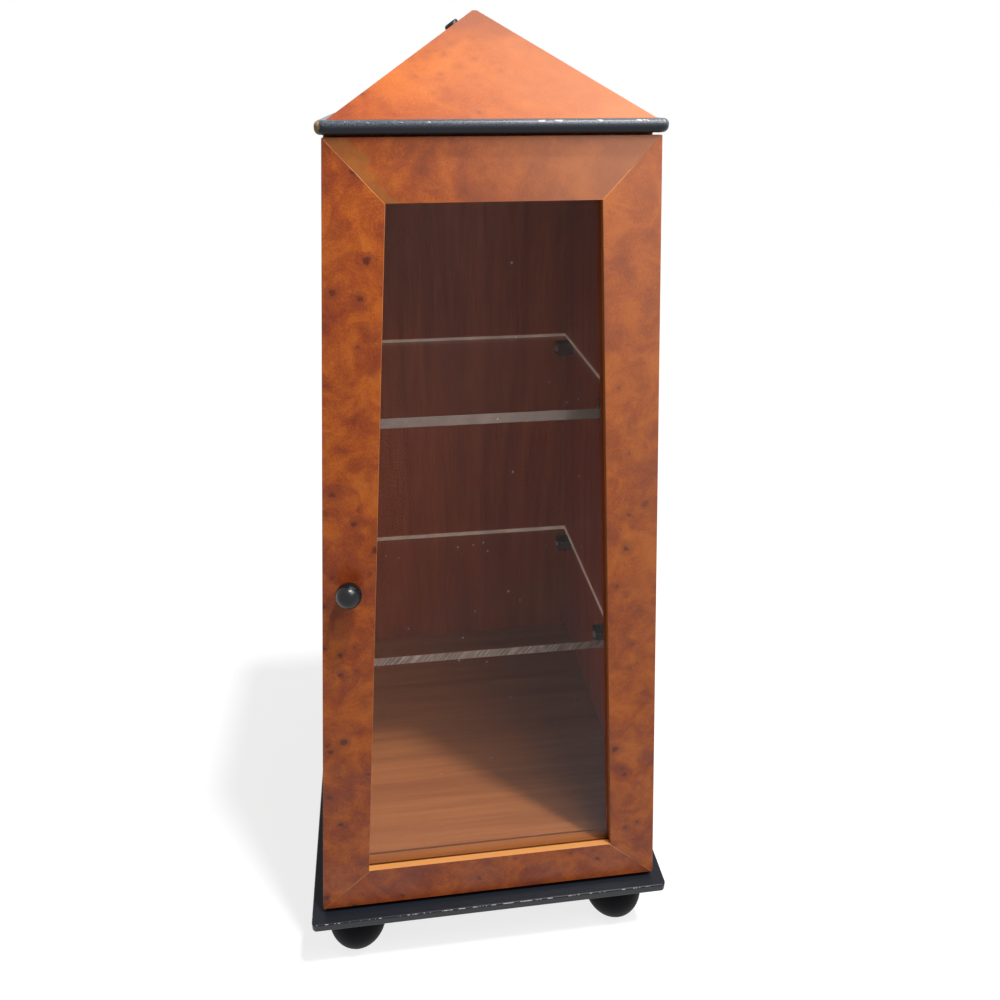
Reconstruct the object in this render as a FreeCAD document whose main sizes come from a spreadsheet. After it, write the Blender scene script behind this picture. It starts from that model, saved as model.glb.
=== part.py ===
import FreeCAD, Part
import math
import os
import Sketcher

# Countertop curio cabinet in the shape of an obelisk, in millimetres.
# The origin is on the table under the middle of the base board: +X right, +Y back, +Z up.

# Driving dimensions
DIMENSIONS = (
    ("foot_height", "56"),
    ("foot_ball_radius", "25"),
    ("foot_flat_radius", "8"),
    ("foot_neck_radius", "12"),
    ("foot_inset_side", "35"),
    ("foot_inset_front", "31.5"),
    ("dowel_radius", "4"),
    ("dowel_in_foot", "14"),
    ("dowel_cover", "2"),
    ("base_overhang", "9"),
    ("base_thickness", "8"),
    ("base_corner_radius", "4"),
    ("base_edge_radius", "1.2"),
    ("case_bottom_width", "282"),
    ("case_top_width", "200"),
    ("case_bottom_depth", "282"),
    ("case_top_depth", "200"),
    ("case_height", "605"),
    ("side_thickness", "9"),
    ("back_thickness", "6"),
    ("top_thickness", "9"),
    ("floor_thickness", "12"),
    ("floor_rise", "41"),
    ("bearer_width", "14"),
    ("base_screw_from_end", "70"),
    ("cornice_overhang", "4"),
    ("cornice_thickness", "8"),
    ("cornice_corner_radius", "7"),
    ("cornice_edge_radius", "3.4"),
    ("roof_inset", "3"),
    ("roof_height", "65"),
    ("roof_tip", "3"),
    ("roof_thickness", "9"),
    ("roof_hollow_flat", "1"),
    ("roof_block_height", "20"),
    ("button_radius", "5"),
    ("button_height", "2.4"),
    ("button_edge_radius", "1.6"),
    ("button_from_tip", "15"),
    ("door_bottom_gap", "5"),
    ("door_top_gap", "1.2"),
    ("door_back_gap", "0.6"),
    ("door_thickness", "16"),
    ("frame_width", "37"),
    ("lip_depth", "5"),
    ("rebate_width", "7"),
    ("glass_thickness", "3"),
    ("glass_gap", "0.5"),
    ("bead_width", "6"),
    ("bead_setback", "0.1"),
    ("knob_radius", "9"),
    ("knob_neck_radius", "4.5"),
    ("knob_reach", "9.5"),
    ("knob_height", "309.8"),
    ("knob_screw_bite", "10"),
    ("upper_shelf_height", "407"),
    ("lower_shelf_height", "181"),
    ("shelf_thickness", "8"),
    ("shelf_side_gap", "0.8"),
    ("shelf_back_gap", "0.8"),
    ("upper_shelf_setback", "42"),
    ("lower_shelf_setback", "70"),
    ("support_reach", "14"),
    ("support_width", "12"),
    ("support_height", "11"),
    ("support_from_back", "12"),
    ("support_from_front", "14"),
    ("hinge_length", "50"),
    ("hinge_from_end", "75"),
    ("hinge_screw_from_end", "12.5"),
    ("knuckle_wall", "1.25"),
    ("knuckle_gap", "0.3"),
    ("hinge_stand_off", "0.3"),
    ("pin_radius", "1.1"),
    ("pin_clearance", "0.05"),
    ("leaf_thickness", "1.2"),
    ("leaf_seat_gap", "0.04"),
    ("leaf_clearance", "0.5"),
    ("case_leaf_width", "18"),
    ("door_leaf_margin", "4.5"),
    ("catch_level", "360"),
    ("catch_width", "11"),
    ("catch_depth", "14"),
    ("catch_height", "30"),
    ("catch_gap", "0.4"),
    ("catch_screw_from_end", "7.5"),
    ("strike_width", "8"),
    ("strike_tab", "9"),
    ("strike_thickness", "1.2"),
    ("strike_from_wall", "0.6"),
    ("screw_head_radius", "3"),
    ("screw_head_height", "0.9"),
    ("screw_slot_width", "0.8"),
    ("screw_slot_depth", "0.45"),
    ("screw_radius", "1.5"),
    ("screw_bite", "6.5"),
    ("long_screw_bite", "13"),
)

doc = FreeCAD.newDocument("CurioCabinet")
dims = doc.addObject("Spreadsheet::Sheet", "Dims")
for row, (name, size) in enumerate(DIMENSIONS, start=1):
    dims.set("A" + str(row), name)
    dims.set("B" + str(row), size)
    dims.setAlias("B" + str(row), name)

# Levels and slopes that follow from the driving dimensions
LEVELS = (
    ("case_floor_z", "=Dims.foot_height + Dims.base_thickness"),
    ("case_top_z", "=case_floor_z + Dims.case_height"),
    ("roof_floor_z", "=case_top_z + Dims.cornice_thickness"),
    ("floor_top_z", "=case_floor_z + Dims.floor_rise"),
    ("upper_shelf_z", "=case_floor_z + Dims.upper_shelf_height"),
    ("lower_shelf_z", "=case_floor_z + Dims.lower_shelf_height"),
    ("base_width", "=Dims.case_bottom_width + 2 * Dims.base_overhang"),
    ("base_depth", "=Dims.case_bottom_depth + 2 * Dims.base_overhang"),
    ("taper_x", "=(Dims.case_bottom_width - Dims.case_top_width) / 2 / Dims.case_height"),
    ("taper_y", "=(Dims.case_bottom_depth - Dims.case_top_depth) / 2 / Dims.case_height"),
    ("side_stretch", "=sqrt(1 + taper_x * taper_x)"),
    ("front_stretch", "=sqrt(1 + taper_y * taper_y)"),
    ("edge_taper", "=taper_x / front_stretch"),
    ("edge_stretch", "=sqrt(1 + edge_taper * edge_taper)"),
    ("side_run", "=Dims.side_thickness * side_stretch"),
    ("back_run", "=Dims.back_thickness * front_stretch"),
    ("door_run", "=(Dims.door_thickness + Dims.door_back_gap) * front_stretch"),
    ("door_low", "=Dims.door_bottom_gap"),
    ("door_high", "=Dims.case_height * front_stretch - Dims.door_top_gap"),
    ("roof_half_width", "=Dims.case_top_width / 2 - Dims.roof_inset"),
    ("roof_half_depth", "=Dims.case_top_depth / 2 - Dims.roof_inset"),
    ("roof_fall_x", "=(roof_half_width - Dims.roof_tip / 2) / Dims.roof_height"),
    ("roof_fall_y", "=(roof_half_depth - Dims.roof_tip / 2) / Dims.roof_height"),
    ("roof_inner_x", "=roof_half_width - Dims.roof_thickness * sqrt(1 + roof_fall_x * roof_fall_x)"),
    ("roof_inner_y", "=roof_half_depth - Dims.roof_thickness * sqrt(1 + roof_fall_y * roof_fall_y)"),
    ("roof_hollow_height", "=min((roof_inner_x - Dims.roof_hollow_flat / 2) / roof_fall_x; "
                           "(roof_inner_y - Dims.roof_hollow_flat / 2) / roof_fall_y)"),
    ("foot_middle", "=sqrt(Dims.foot_ball_radius * Dims.foot_ball_radius "
                    "- Dims.foot_flat_radius * Dims.foot_flat_radius)"),
    ("bead_depth", "=Dims.door_thickness - Dims.lip_depth - Dims.glass_thickness - Dims.bead_setback"),
    ("knuckle_radius", "=Dims.pin_radius + Dims.pin_clearance + Dims.knuckle_wall"),
    ("knuckle_length", "=(Dims.hinge_length - 2 * Dims.knuckle_gap) / 3"),
    ("strike_height", "=Dims.catch_height + 2 * Dims.strike_tab"),
    ("catch_run", "=(Dims.door_thickness + Dims.strike_thickness + Dims.catch_gap) * front_stretch"),
)
levels = doc.addObject("Spreadsheet::Sheet", "Levels")
for row, (name, formula) in enumerate(LEVELS, start=1):
    levels.set("A" + str(row), name)
    levels.set("B" + str(row), formula)
    levels.setAlias("B" + str(row), name)
doc.recompute()

# How far a cutting shape passes beyond what it cuts
OVERSHOOT = 1.0

X_AXIS = FreeCAD.Vector(1, 0, 0)
Y_AXIS = FreeCAD.Vector(0, 1, 0)
Z_AXIS = FreeCAD.Vector(0, 0, 1)


def dim(name):
    return float(dims.get(name))


def level(name):
    return float(levels.get(name))


def at(x, y, z, axis=Z_AXIS, angle=0):
    return FreeCAD.Placement(FreeCAD.Vector(x, y, z), FreeCAD.Rotation(axis, angle))


# Half sizes of the case at a height, as expressions and as numbers
def half_across(z):
    return "(Dims.case_bottom_width / 2 - Levels.taper_x * (" + z + " - Levels.case_floor_z))"


def half_along(z):
    return "(Dims.case_bottom_depth / 2 - Levels.taper_y * (" + z + " - Levels.case_floor_z))"


def across_at(z):
    return dim("case_bottom_width") / 2 - level("taper_x") * (z - level("case_floor_z"))


def along_at(z):
    return dim("case_bottom_depth") / 2 - level("taper_y") * (z - level("case_floor_z"))


# Frame of the leaning front: X right, Y up the slope, Z out of the front face
lean = math.degrees(math.atan(level("taper_y")))
front_frame = at(0, -dim("case_bottom_depth") / 2, level("case_floor_z"), X_AXIS, 90 - lean)

# Frame of the slanted right edge: X out of the edge, Y along the edge, Z out of the front face
edge_angle = math.degrees(math.atan(level("edge_taper")))
edge_frame = front_frame.multiply(at(dim("case_bottom_width") / 2, 0, 0, Z_AXIS, edge_angle))

nodes = []


def keep(piece, label):
    piece.Label = label
    nodes.append(piece)
    return piece


# Builders shared by several pieces
def block_between(name, low, high, across_low, along_low, across_high, along_high):
    """Block between two levels, with a rectangle given as (from, to) along X and Y at each level."""
    block = doc.addObject("Part::Wedge", name)
    block.Placement = at(0, 0, 0, X_AXIS, 90)
    block.setExpression("Ymin", low)
    block.setExpression("Ymax", high)
    block.setExpression("Xmin", across_low[0])
    block.setExpression("Xmax", across_low[1])
    block.setExpression("Zmin", "-(" + along_low[1] + ")")
    block.setExpression("Zmax", "-(" + along_low[0] + ")")
    block.setExpression("X2min", across_high[0])
    block.setExpression("X2max", across_high[1])
    block.setExpression("Z2min", "-(" + along_high[1] + ")")
    block.setExpression("Z2max", "-(" + along_high[0] + ")")
    return block


def origin_plane(body, role):
    return [feature for feature in body.Origin.OriginFeatures if feature.Role == role][0]


def outline_pad(body, name, corners, depth, offset, towards_back=True):
    """Pad of a straight-sided outline whose corners are pairs of expressions."""
    sketch = body.newObject("Sketcher::SketchObject", name + "_outline")
    sketch.AttachmentSupport = [(origin_plane(body, "XY_Plane"), "")]
    sketch.MapMode = "FlatFace"
    sketch.setExpression("AttachmentOffset.Base.z", offset)
    count = len(corners)
    starts = []
    for index in range(count):
        turn = 2 * math.pi * index / count
        starts.append(FreeCAD.Vector(100 * math.cos(turn), 100 * math.sin(turn), 0))
    for index in range(count):
        sketch.addGeometry(Part.LineSegment(starts[index], starts[(index + 1) % count]), False)
    for index in range(count):
        sketch.addConstraint(Sketcher.Constraint("Coincident", index, 2, (index + 1) % count, 1))
    for index, (across, up) in enumerate(corners):
        here = starts[index]
        first = sketch.addConstraint(Sketcher.Constraint("DistanceX", -1, 1, index, 1, here.x))
        second = sketch.addConstraint(Sketcher.Constraint("DistanceY", -1, 1, index, 1, here.y))
        sketch.setExpression("Constraints[" + str(first) + "]", across)
        sketch.setExpression("Constraints[" + str(second) + "]", up)
    pad = body.newObject("PartDesign::Pad", name + "_pad")
    pad.Profile = sketch
    pad.setExpression("Length", depth)
    pad.Reversed = towards_back
    return pad


def edges_where(shape, wanted):
    return ["Edge" + str(number) for number, edge in enumerate(shape.Edges, start=1) if wanted(edge)]


def is_upright(edge):
    first = edge.Vertexes[0].Point
    last = edge.Vertexes[-1].Point
    return abs(first.z - last.z) > 0.01


def rounded_slab(label, width, depth, thickness, corner_radius, edge_radius, height):
    """Flat board centred on the Z axis, with rounded corners and softened edges."""
    body = doc.addObject("PartDesign::Body", label)
    slab = body.newObject("PartDesign::AdditiveBox", label + "_slab")
    slab.AttachmentSupport = [(origin_plane(body, "XY_Plane"), "")]
    slab.MapMode = "FlatFace"
    slab.setExpression("Length", width)
    slab.setExpression("Width", depth)
    slab.setExpression("Height", thickness)
    slab.setExpression("AttachmentOffset.Base.x", "-(" + width + ") / 2")
    slab.setExpression("AttachmentOffset.Base.y", "-(" + depth + ") / 2")
    body.setExpression("Placement.Base.z", height)
    doc.recompute()
    corners = body.newObject("PartDesign::Fillet", label + "_corners")
    corners.Base = (slab, edges_where(slab.Shape, is_upright))
    corners.setExpression("Radius", corner_radius)
    doc.recompute()
    rim = body.newObject("PartDesign::Fillet", label + "_rim")
    rim.Base = (corners, edges_where(corners.Shape, lambda edge: not is_upright(edge)))
    rim.setExpression("Radius", edge_radius)
    return keep(body, label)


def cylinder(name, radius, length):
    rod = doc.addObject("Part::Cylinder", name)
    rod.setExpression("Radius", radius)
    rod.setExpression("Height", length)
    return rod


def screw(name, length, place):
    """Slotted screw whose head sits under the start of its shank, which runs along +Z of its place."""
    head = cylinder(name + "_head", "Dims.screw_head_radius", "Dims.screw_head_height")
    head.setExpression("Placement.Base.z", "-Dims.screw_head_height")
    slot = doc.addObject("Part::Box", name + "_slot")
    slot.setExpression("Length", "2 * Dims.screw_head_radius + 2 * " + str(OVERSHOOT))
    slot.setExpression("Width", "Dims.screw_slot_width")
    slot.setExpression("Height", "Dims.screw_slot_depth + " + str(OVERSHOOT))
    slot.setExpression("Placement.Base.x", "-Dims.screw_head_radius - " + str(OVERSHOOT))
    slot.setExpression("Placement.Base.y", "-Dims.screw_slot_width / 2")
    slot.setExpression("Placement.Base.z", "-Dims.screw_head_height - " + str(OVERSHOOT))
    slotted = doc.addObject("Part::Cut", name + "_slotted_head")
    slotted.Base = head
    slotted.Tool = slot
    shank = cylinder(name + "_shank", "Dims.screw_radius", length)
    whole = doc.addObject("Part::Fuse", name)
    whole.Base = slotted
    whole.Tool = shank
    whole.Placement = place
    return whole


def group(label, pieces):
    together = doc.addObject("Part::Compound", label)
    together.Links = pieces
    return keep(together, label)


# Base board and feet
rounded_slab(
    "base_board", "Levels.base_width", "Levels.base_depth", "Dims.base_thickness",
    "Dims.base_corner_radius", "Dims.base_edge_radius", "Dims.foot_height",
)
FEET = (("front_left", -1, -1), ("front_right", 1, -1), ("rear_left", -1, 1), ("rear_right", 1, 1))
foot_dowels = []
for place, side, end in FEET:
    foot_x = str(side) + " * (Levels.base_width / 2 - Dims.foot_inset_side)"
    foot_y = str(end) + " * (Levels.base_depth / 2 - Dims.foot_inset_front)"
    ball = doc.addObject("Part::Sphere", "ball_" + place)
    ball.setExpression("Radius", "Dims.foot_ball_radius")
    ball.setExpression("Placement.Base.z", "Levels.foot_middle")
    neck = cylinder("neck_" + place, "Dims.foot_neck_radius", "Dims.foot_height - Levels.foot_middle")
    neck.setExpression("Placement.Base.z", "Levels.foot_middle")
    turned = doc.addObject("Part::Fuse", "turned_" + place)
    turned.Base = ball
    turned.Tool = neck
    ends = cylinder("ends_" + place, "2 * Dims.foot_ball_radius", "Dims.foot_height")
    foot = doc.addObject("Part::Common", "foot_" + place)
    foot.Base = turned
    foot.Tool = ends
    foot.setExpression("Placement.Base.x", foot_x)
    foot.setExpression("Placement.Base.y", foot_y)
    keep(foot, "foot_" + place)
    dowel = cylinder("dowel_" + place, "Dims.dowel_radius",
                     "Dims.dowel_in_foot + Dims.base_thickness - Dims.dowel_cover")
    dowel.setExpression("Placement.Base.x", foot_x)
    dowel.setExpression("Placement.Base.y", foot_y)
    dowel.setExpression("Placement.Base.z", "Dims.foot_height - Dims.dowel_in_foot")
    foot_dowels.append(dowel)
group("foot_dowels", foot_dowels)

# Case walls, floor and top
LOW = "Levels.case_floor_z"
HIGH = "Levels.case_top_z"
FLOOR = "Levels.floor_top_z"
FLOOR_UNDER = "(Levels.floor_top_z - Dims.floor_thickness)"
TOP_UNDER = "(Levels.case_top_z - Dims.top_thickness)"


def inner_across(z):
    return "(" + half_across(z) + " - Levels.side_run)"


def side_along(z):
    return ("-" + half_along(z) + " + Levels.door_run", half_along(z))


def inner_along(z):
    return ("-" + half_along(z) + " + Levels.door_run", half_along(z) + " - Levels.back_run")


def left_wall(z):
    return ("-" + half_across(z), "-" + inner_across(z))


def right_wall(z):
    return (inner_across(z), half_across(z))


def between_walls(z):
    return ("-" + inner_across(z), inner_across(z))


def back_along(z):
    return (half_along(z) + " - Levels.back_run", half_along(z))


keep(block_between("left_side", LOW, HIGH, left_wall(LOW), side_along(LOW), left_wall(HIGH),
                   side_along(HIGH)), "left_side")
keep(block_between("right_side", LOW, HIGH, right_wall(LOW), side_along(LOW), right_wall(HIGH),
                   side_along(HIGH)), "right_side")
keep(block_between("back_panel", LOW, HIGH, between_walls(LOW), back_along(LOW), between_walls(HIGH),
                   back_along(HIGH)), "back_panel")
keep(block_between("top_panel", TOP_UNDER, HIGH, between_walls(TOP_UNDER), inner_along(TOP_UNDER),
                   between_walls(HIGH), inner_along(HIGH)), "top_panel")
keep(block_between("floor_panel", FLOOR_UNDER, FLOOR, between_walls(FLOOR_UNDER), inner_along(FLOOR_UNDER),
                   between_walls(FLOOR), inner_along(FLOOR)), "floor_panel")


def left_bearer(z):
    return ("-" + inner_across(z), "-" + inner_across(z) + " + Dims.bearer_width")


def right_bearer(z):
    return (inner_across(z) + " - Dims.bearer_width", inner_across(z))


keep(block_between("floor_bearer_left", LOW, FLOOR_UNDER, left_bearer(LOW), inner_along(LOW),
                   left_bearer(FLOOR_UNDER), inner_along(FLOOR_UNDER)), "floor_bearer_left")
keep(block_between("floor_bearer_right", LOW, FLOOR_UNDER, right_bearer(LOW), inner_along(LOW),
                   right_bearer(FLOOR_UNDER), inner_along(FLOOR_UNDER)), "floor_bearer_right")


def front_bearer_along(z):
    start = "-" + half_along(z) + " + Levels.door_run"
    return (start, start + " + Dims.bearer_width")


def between_bearers(z):
    half = "(" + inner_across(z) + " - Dims.bearer_width)"
    return ("-" + half, half)


keep(block_between("floor_bearer_front", LOW, FLOOR_UNDER, between_bearers(LOW), front_bearer_along(LOW),
                   between_bearers(FLOOR_UNDER), front_bearer_along(FLOOR_UNDER)), "floor_bearer_front")

# Screws up through the base board into the side bearers
base_screws = []
bearer_x = across_at(level("case_floor_z")) - level("side_run") - dim("bearer_width") / 2
bearer_y = along_at(level("case_floor_z")) - level("door_run") - dim("base_screw_from_end")
for number, (side, end) in enumerate(((-1, -1), (1, -1), (-1, 1), (1, 1)), start=1):
    base_screws.append(screw(
        "base_screw_" + str(number), "Dims.base_thickness + Dims.long_screw_bite",
        at(side * bearer_x, end * bearer_y, dim("foot_height")),
    ))
group("base_screws", base_screws)

# Cornice and roof
rounded_slab(
    "cornice_board", "Dims.case_top_width + 2 * Dims.cornice_overhang",
    "Dims.case_top_depth + 2 * Dims.cornice_overhang", "Dims.cornice_thickness",
    "Dims.cornice_corner_radius", "Dims.cornice_edge_radius", HIGH,
)
ROOF_LOW = "Levels.roof_floor_z"
ROOF_HIGH = "(Levels.roof_floor_z + Dims.roof_height)"


def centred(half):
    return ("-(" + half + ")", half)


roof_outer = block_between(
    "roof_outer", ROOF_LOW, ROOF_HIGH, centred("Levels.roof_half_width"), centred("Levels.roof_half_depth"),
    centred("Dims.roof_tip / 2"), centred("Dims.roof_tip / 2"),
)
ROOF_HOLLOW = "Levels.roof_hollow_height"


def under_roof(height):
    """Half sizes under the roof panels at a height above the cornice."""
    across = "Levels.roof_inner_x - Levels.roof_fall_x * " + height
    along = "Levels.roof_inner_y - Levels.roof_fall_y * " + height
    return centred(across), centred(along)


roof_hollow = block_between(
    "roof_hollow", ROOF_LOW, ROOF_LOW + " + " + ROOF_HOLLOW, *under_roof("0"), *under_roof(ROOF_HOLLOW),
)
SECTORS = (("front", (-1, -1), (1, -1)), ("right", (1, -1), (1, 1)), ("back", (1, 1), (-1, 1)),
           ("left", (-1, 1), (-1, -1)))
for name, first, second in SECTORS:
    body = doc.addObject("PartDesign::Body", "sector_" + name)
    reach = [("0", "0")]
    for across, along in (first, second):
        reach.append((str(2 * across) + " * Levels.roof_half_width",
                      str(2 * along) + " * Levels.roof_half_depth"))
    outline_pad(body, "sector_" + name, reach, "Dims.roof_height + 2 * " + str(OVERSHOOT),
                ROOF_LOW + " - " + str(OVERSHOOT), False)
    shell = doc.addObject("Part::Cut", "roof_shell_" + name)
    shell.Base = roof_outer
    shell.Tool = roof_hollow
    panel = doc.addObject("Part::Common", "roof_" + name)
    panel.Base = shell
    panel.Tool = body
    keep(panel, "roof_" + name)
keep(block_between(
    "roof_block", ROOF_LOW, ROOF_LOW + " + Dims.roof_block_height",
    *under_roof("0"), *under_roof("Dims.roof_block_height"),
), "roof_block")

# Screws from inside the case through the top and the cornice, half way out under the roof block
top_screws = []
top_screw_x = level("roof_inner_x") / 2
top_screw_y = level("roof_inner_y") / 2
for number, (side, end) in enumerate(((-1, -1), (1, -1), (-1, 1), (1, 1)), start=1):
    top_screws.append(screw(
        "top_screw_" + str(number),
        "Dims.top_thickness + Dims.cornice_thickness + Dims.long_screw_bite",
        at(side * top_screw_x, end * top_screw_y, level("case_top_z") - dim("top_thickness")),
    ))
group("top_screws", top_screws)

# Domed button on the left slope of the roof
button = doc.addObject("PartDesign::Body", "roof_button")
disc = button.newObject("PartDesign::AdditiveCylinder", "button_disc")
disc.AttachmentSupport = [(origin_plane(button, "XY_Plane"), "")]
disc.MapMode = "FlatFace"
disc.setExpression("Radius", "Dims.button_radius")
disc.setExpression("Height", "Dims.button_height")
doc.recompute()
crown = button.newObject("PartDesign::Fillet", "button_crown")
crown.Base = (disc, edges_where(disc.Shape, lambda edge: edge.BoundBox.ZMin > 0.01))
crown.setExpression("Radius", "Dims.button_edge_radius")
slope = math.degrees(math.atan(1 / level("roof_fall_x")))
button_rise = (level("roof_half_width") - dim("button_from_tip")) / level("roof_fall_x")
button_z = level("roof_floor_z") + button_rise
button.Placement = at(-dim("button_from_tip"), 0, button_z, Y_AXIS, -slope)
keep(button, "roof_button")


# Door frame, drawn in the plane of the leaning front with its thickness running backwards
def door_corner(side, end, inset):
    """Corner of the door outline moved inwards by inset, on the mitre line."""
    if end == "low":
        up = "(Levels.door_low + (" + inset + "))"
    else:
        up = "(Levels.door_high - (" + inset + "))"
    edge = "Dims.case_bottom_width / 2 - Levels.edge_taper * " + up
    half = "(" + edge + " - (" + inset + ") * Levels.edge_stretch)"
    return (side + half, up)


def door_strip(ends, outer, inner):
    """Four corners of one mitred member between two insets."""
    first, second = ends
    return [door_corner(*first, outer), door_corner(*first, inner), door_corner(*second, inner),
            door_corner(*second, outer)]


MEMBERS = {
    "left": (("-", "low"), ("-", "high")),
    "top": (("-", "high"), ("", "high")),
    "right": (("", "high"), ("", "low")),
    "bottom": (("", "low"), ("-", "low")),
}
FRAME_NODES = (("door_left_stile", "left"), ("door_right_stile", "right"), ("door_top_rail", "top"),
               ("door_bottom_rail", "bottom"))
REBATE = "(Dims.frame_width - Dims.rebate_width)"
for label, member in FRAME_NODES:
    body = doc.addObject("PartDesign::Body", label)
    outline_pad(body, label + "_face", door_strip(MEMBERS[member], "0", "Dims.frame_width"),
                "Dims.lip_depth", "0")
    outline_pad(body, label + "_back", door_strip(MEMBERS[member], "0", REBATE),
                "Dims.door_thickness - Dims.lip_depth", "-Dims.lip_depth")
    body.Placement = front_frame
    keep(body, label)

# Glass and the beads that hold it
pane = doc.addObject("PartDesign::Body", "door_glass")
PANE_INSET = "(" + REBATE + " + Dims.glass_gap)"
outline_pad(pane, "pane", [door_corner("-", "low", PANE_INSET), door_corner("", "low", PANE_INSET),
                           door_corner("", "high", PANE_INSET), door_corner("-", "high", PANE_INSET)],
            "Dims.glass_thickness", "-Dims.lip_depth")
pane.Placement = front_frame
keep(pane, "door_glass")
for member in ("left", "right", "top", "bottom"):
    body = doc.addObject("PartDesign::Body", "door_bead_" + member)
    outline_pad(body, "bead_" + member, door_strip(MEMBERS[member], REBATE, REBATE + " + Dims.bead_width"),
                "Levels.bead_depth", "-(Dims.lip_depth + Dims.glass_thickness)")
    body.Placement = front_frame
    keep(body, "door_bead_" + member)

# Ball knob on the left stile, with its screw from the back
stile_half = dim("case_bottom_width") / 2 - level("edge_taper") * dim("knob_height")
knob_x = -(stile_half - dim("frame_width") / 2)
neck = cylinder("knob_neck", "Dims.knob_neck_radius", "Dims.knob_reach")
ball = doc.addObject("Part::Sphere", "knob_ball")
ball.setExpression("Radius", "Dims.knob_radius")
ball.setExpression("Placement.Base.z", "Dims.knob_reach")
knob = doc.addObject("Part::Fuse", "door_knob")
knob.Base = neck
knob.Tool = ball
knob.Placement = front_frame.multiply(at(knob_x, dim("knob_height"), 0))
keep(knob, "door_knob")
knob_screw = screw("knob_screw", "Dims.door_thickness + Dims.knob_screw_bite",
                   front_frame.multiply(at(knob_x, dim("knob_height"), -dim("door_thickness"))))
keep(knob_screw, "knob_screw")

# Hinges on the outside of the right edge, drawn in the frame of that edge
seam = -(dim("door_thickness") + dim("door_back_gap") / 2)
axis_x = level("knuckle_radius") + dim("hinge_stand_off")
plate_edge = level("knuckle_radius") + dim("leaf_clearance")
door_leaf_width = -seam - dim("door_leaf_margin")
# The case wall turns slightly away from the edge frame, so its leaf is lifted to lie flat on it
wall_drift = math.sin(math.radians(lean)) * level("taper_x") / level("side_stretch")
leaf_lift = wall_drift * (dim("case_leaf_width") - seam) + dim("leaf_seat_gap")


def plate(name, start, length, near, far, lift):
    """Flat piece of a leaf: start and length along the edge, near and far across the seam."""
    box = doc.addObject("Part::Box", name)
    box.setExpression("Length", "Dims.leaf_thickness")
    box.setExpression("Width", length)
    box.Height = abs(far - near)
    box.Placement = at(lift, start, min(near, far))
    return box


def barrel(name, radius, start, length):
    rod = cylinder(name, radius, length)
    rod.Placement = at(axis_x, start, seam, X_AXIS, -90)
    return rod


def leaf(label, spans, near, far, lift, place):
    """One hinge leaf: a plate, a tab and a knuckle for each span, bored for the pin."""
    start_of_plate = seam + math.copysign(plate_edge, far - near)
    pieces = [plate(label + "_plate", 0, "Dims.hinge_length", start_of_plate, far, lift)]
    for number, start in enumerate(spans, start=1):
        tag = label + "_" + str(number)
        pieces.append(plate(tag + "_tab", start, "Levels.knuckle_length", near, start_of_plate, lift))
        pieces.append(barrel(tag + "_knuckle", "Levels.knuckle_radius", start, "Levels.knuckle_length"))
    whole = doc.addObject("Part::MultiFuse", label + "_whole")
    whole.Shapes = pieces
    bore = barrel(label + "_bore", "Dims.pin_radius + Dims.pin_clearance", -OVERSHOOT,
                  "Dims.hinge_length + 2 * " + str(OVERSHOOT))
    bored = doc.addObject("Part::Cut", label)
    bored.Base = whole
    bored.Tool = bore
    bored.Placement = place
    return keep(bored, label)


edge_length = level("door_high") * level("edge_stretch")
HINGES = (
    ("lower", level("door_low") + dim("hinge_from_end")),
    ("upper", edge_length - dim("hinge_from_end") - dim("hinge_length")),
)
case_screws = []
door_screws = []
for name, start in HINGES:
    place = edge_frame.multiply(at(0, start, 0))
    outer_spans = (0, dim("hinge_length") - level("knuckle_length"))
    middle_span = (level("knuckle_length") + dim("knuckle_gap"),)
    leaf(name + "_hinge_case_leaf", outer_spans, seam, seam - dim("case_leaf_width"), leaf_lift, place)
    leaf(name + "_hinge_door_leaf", middle_span, seam, seam + door_leaf_width, 0, place)
    pin = barrel(name + "_hinge_pin", "Dims.pin_radius", 0, "Dims.hinge_length")
    pin.Placement = place.multiply(pin.Placement)
    keep(pin, name + "_hinge_pin")
    screw_places = (dim("hinge_screw_from_end"), dim("hinge_length") - dim("hinge_screw_from_end"))
    for number, along in enumerate(screw_places, start=1):
        case_z = seam - (plate_edge + dim("case_leaf_width")) / 2
        door_z = seam + (plate_edge + door_leaf_width) / 2
        out = dim("leaf_thickness")
        case_screws.append(screw(
            name + "_case_screw_" + str(number), "Dims.leaf_thickness + Dims.screw_bite",
            place.multiply(at(out + leaf_lift, along, case_z, Y_AXIS, -90)),
        ))
        door_screws.append(screw(
            name + "_door_screw_" + str(number), "Dims.leaf_thickness + Dims.long_screw_bite",
            place.multiply(at(out, along, door_z, Y_AXIS, -90)),
        ))
group("case_hinge_screws", case_screws)
group("door_hinge_screws", door_screws)

# Magnetic catch on the left wall and its strike plate on the back of the left stile
catch_middle = level("case_floor_z") + dim("catch_level") / level("front_stretch")
CATCH_LOW = repr(catch_middle) + " - Dims.catch_height / 2"
CATCH_HIGH = repr(catch_middle) + " + Dims.catch_height / 2"


def catch_across(z):
    return ("-" + inner_across(z), "-" + inner_across(z) + " + Dims.catch_width")


def catch_along(z):
    start = "-" + half_along(z) + " + Levels.catch_run"
    return (start, start + " + Dims.catch_depth")


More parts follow.
